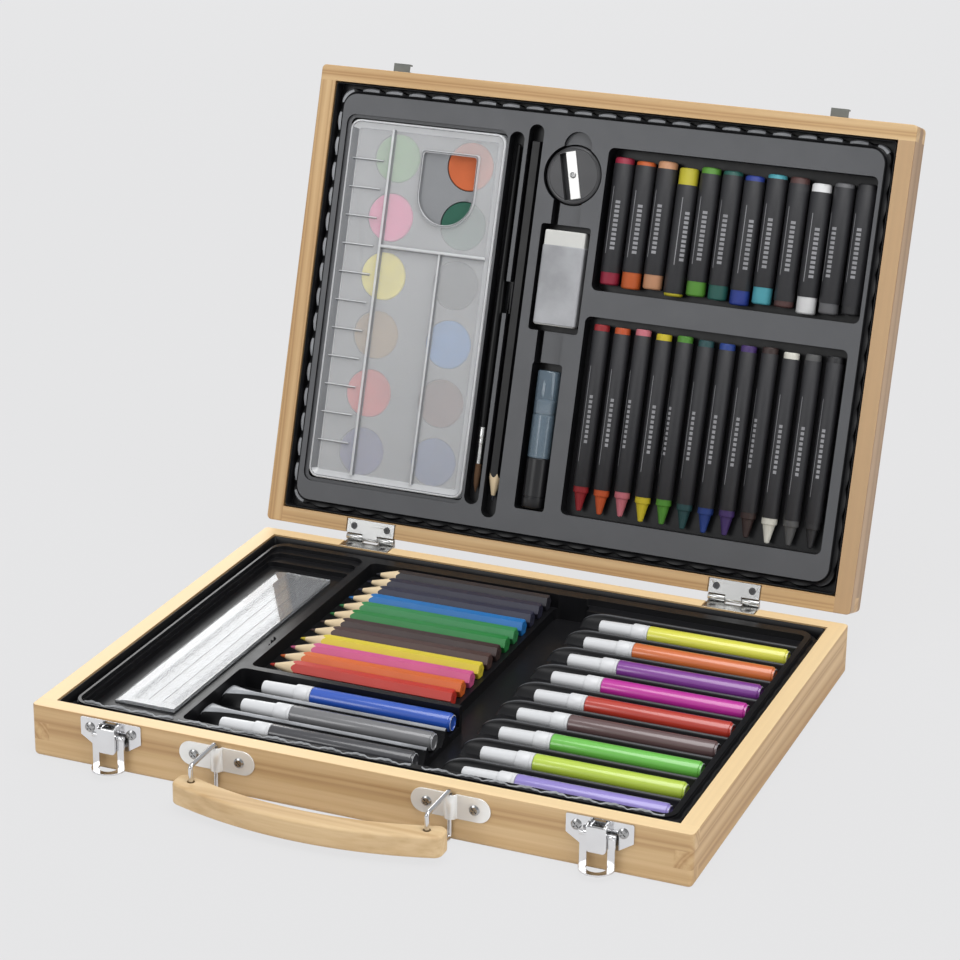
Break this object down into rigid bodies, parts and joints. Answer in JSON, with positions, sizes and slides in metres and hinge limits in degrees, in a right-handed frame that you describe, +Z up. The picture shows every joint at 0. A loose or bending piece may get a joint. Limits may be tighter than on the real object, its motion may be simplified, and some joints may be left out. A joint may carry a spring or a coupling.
{
  "type": "art set box",
  "caption": "Hinged wooden case that lies open, with formed trays of pencils, markers, pastels, crayons, paints and small drawing tools, draw latches and a carrying handle.",
  "frame": {"origin": "centre of the base's footprint, on its underside", "axes": "+X to the right along the front, +Y to the hinges at the back, +Z up; the lid is open"},
  "size_m": [0.3, 0.3486, 0.2465],
  "materials": {
    "pine_board": "satin",
    "panel_board": "satin",
    "handle_wood": "satin",
    "tray_plastic": "satin",
    "hinge_steel": "satin",
    "screw_steel": "satin",
    "latch_steel": "gloss",
    "wire_steel": "gloss",
    "bracket_steel": "gloss",
    "ruler_clear": "gloss",
    "pencil_lacquer": "gloss",
    "marker_body": "gloss",
    "marker_cap": "gloss",
    "pastel_colour": "matte",
    "wrapper_paper": "satin",
    "crayon_wax": "satin",
    "paint_tray_plastic": "gloss",
    "paint_cake": "matte",
    "palette_frosted": "satin",
    "brush_lacquer": "gloss",
    "ferrule_metal": "satin",
    "brush_hair": "matte",
    "graphite_lacquer": "gloss",
    "sharpener_plastic": "satin",
    "blade_steel": "satin",
    "eraser_rubber": "matte",
    "sleeve_card": "satin",
    "glue_black": "gloss",
    "glue_clear": "gloss"
  },
  "bodies": {
    "case_base": {"base_front_board": "pine_board", "base_back_board": "pine_board", "base_left_board": "pine_board", "base_right_board": "pine_board", "base_panel": "panel_board", "base_tray": "tray_plastic", "hinge_left_base_leaf": "hinge_steel", "hinge_left_pin": "hinge_steel", "hinge_right_base_leaf": "hinge_steel", "hinge_right_pin": "hinge_steel", "hinge_base_screws": "screw_steel", "latch_screws": "screw_steel", "handle_screws": "screw_steel", "latch_left_plate": "latch_steel", "latch_left_pivot": "latch_steel", "latch_right_plate": "latch_steel", "latch_right_pivot": "latch_steel", "handle_left_plate": "bracket_steel", "handle_right_plate": "bracket_steel"},
    "lid": {"lid_front_board": "pine_board", "lid_back_board": "pine_board", "lid_left_board": "pine_board", "lid_right_board": "pine_board", "lid_panel": "panel_board", "lid_tray": "tray_plastic", "hinge_left_lid_leaf": "hinge_steel", "hinge_right_lid_leaf": "hinge_steel", "hinge_lid_screws": "screw_steel", "latch_left_strike": "latch_steel", "latch_right_strike": "latch_steel", "strike_screws": "screw_steel"},
    "latch_left_lever": {"latch_left_lever": "latch_steel"},
    "latch_left_bail": {"latch_left_bail": "latch_steel"},
    "latch_right_lever": {"latch_right_lever": "latch_steel"},
    "latch_right_bail": {"latch_right_bail": "latch_steel"},
    "link_left": {"handle_link_left": "wire_steel"},
    "handle": {"handle": "handle_wood"},
    "link_right": {"handle_link_right": "wire_steel"},
    "ruler": {"ruler": "ruler_clear"},
    "pencils": {"coloured_pencils": "pencil_lacquer"},
    "markers": {"marker_barrels": "marker_body"},
    "marker_caps": {"marker_caps": "marker_cap"},
    "paints": {"paint_tray": "paint_tray_plastic", "paint_tablets": "paint_cake"},
    "palette": {"paint_palette": "palette_frosted"},
    "brush": {"brush_handle": "brush_lacquer", "brush_ferrule": "ferrule_metal", "brush_tuft": "brush_hair"},
    "graphite_pencil": {"graphite_pencil": "graphite_lacquer"},
    "sharpener": {"sharpener_body": "sharpener_plastic", "sharpener_blade": "blade_steel", "sharpener_screw": "screw_steel"},
    "eraser": {"eraser": "eraser_rubber", "eraser_sleeve": "sleeve_card"},
    "glue_stick": {"glue_stick_body": "glue_black", "glue_stick_cap": "glue_clear"},
    "pastels": {"pastel_sticks": "pastel_colour", "pastel_wrappers": "wrapper_paper"},
    "crayons": {"crayon_sticks": "crayon_wax", "crayon_wrappers": "wrapper_paper"}
  },
  "joints": [
    {"name": "lid_hinge", "type": "hinge", "parent": "case_base", "child": "lid", "pos_m": [0, 0.11533, 0.02604], "axis": [-1, 0, 0], "range_deg": [-107.7, 0]},
    {"name": "latch_left_lever_turn", "type": "hinge", "parent": "case_base", "child": "latch_left_lever", "pos_m": [-0.1109, -0.1166, 0.0207], "axis": [1, 0, 0], "range_deg": [-115, 0]},
    {"name": "latch_left_bail_swing", "type": "hinge", "parent": "latch_left_lever", "child": "latch_left_bail", "pos_m": [-0.1109, -0.1166, 0.0177], "axis": [-1, 0, 0], "range_deg": [0, 160]},
    {"name": "latch_right_lever_turn", "type": "hinge", "parent": "case_base", "child": "latch_right_lever", "pos_m": [0.1109, -0.1166, 0.0207], "axis": [1, 0, 0], "range_deg": [-115, 0]},
    {"name": "latch_right_bail_swing", "type": "hinge", "parent": "latch_right_lever", "child": "latch_right_bail", "pos_m": [0.1109, -0.1166, 0.0177], "axis": [-1, 0, 0], "range_deg": [0, 160]},
    {"name": "handle_swing", "type": "hinge", "parent": "case_base", "child": "link_left", "pos_m": [-0.0605, -0.11465, 0.013], "axis": [0, 0, 1], "range_deg": [-45, 60]},
    {"name": "handle_left_hook", "type": "hinge", "parent": "link_left", "child": "handle", "pos_m": [-0.06291, -0.13269, 0.0084], "axis": [0, 0, 1], "range_deg": [-60, 45]},
    {"name": "handle_right_hook", "type": "hinge", "parent": "handle", "child": "link_right", "pos_m": [0.04379, -0.13269, 0.0084], "axis": [0, 0, 1], "range_deg": [-45, 60]},
    {"name": "ruler_lift", "type": "slide", "parent": "case_base", "child": "ruler", "axis": [0, 0, 1], "range_m": [0, 0.03]},
    {"name": "pencils_lift", "type": "slide", "parent": "case_base", "child": "pencils", "axis": [0, 0, 1], "range_m": [0, 0.03]},
    {"name": "markers_lift", "type": "slide", "parent": "case_base", "child": "markers", "axis": [0, 0, 1], "range_m": [0, 0.03]},
    {"name": "marker_caps_pull", "type": "slide", "parent": "markers", "child": "marker_caps", "axis": [-1, 0, 0], "range_m": [0, 0.012]},
    {"name": "paints_lift", "type": "slide", "parent": "lid", "child": "paints", "axis": [0, -0.9527, 0.304], "range_m": [0, 0.03]},
    {"name": "palette_lift", "type": "slide", "parent": "paints", "child": "palette", "axis": [0, -0.9527, 0.304], "range_m": [0, 0.02]},
    {"name": "brush_lift", "type": "slide", "parent": "lid", "child": "brush", "axis": [0, -0.9527, 0.304], "range_m": [0, 0.03]},
    {"name": "graphite_pencil_lift", "type": "slide", "parent": "lid", "child": "graphite_pencil", "axis": [0, -0.9527, 0.304], "range_m": [0, 0.03]},
    {"name": "sharpener_lift", "type": "slide", "parent": "lid", "child": "sharpener", "axis": [0, -0.9527, 0.304], "range_m": [0, 0.03]},
    {"name": "eraser_lift", "type": "slide", "parent": "lid", "child": "eraser", "axis": [0, -0.9527, 0.304], "range_m": [0, 0.03]},
    {"name": "glue_stick_lift", "type": "slide", "parent": "lid", "child": "glue_stick", "axis": [0, -0.9527, 0.304], "range_m": [0, 0.03]},
    {"name": "pastels_lift", "type": "slide", "parent": "lid", "child": "pastels", "axis": [0, -0.9527, 0.304], "range_m": [0, 0.03]},
    {"name": "crayons_lift", "type": "slide", "parent": "lid", "child": "crayons", "axis": [0, -0.9527, 0.304], "range_m": [0, 0.03]}
  ],
  "couplings": [
    {"joint": "handle_left_hook", "follows": "handle_swing", "ratio": -1},
    {"joint": "handle_right_hook", "follows": "handle_swing", "ratio": 1}
  ]
}
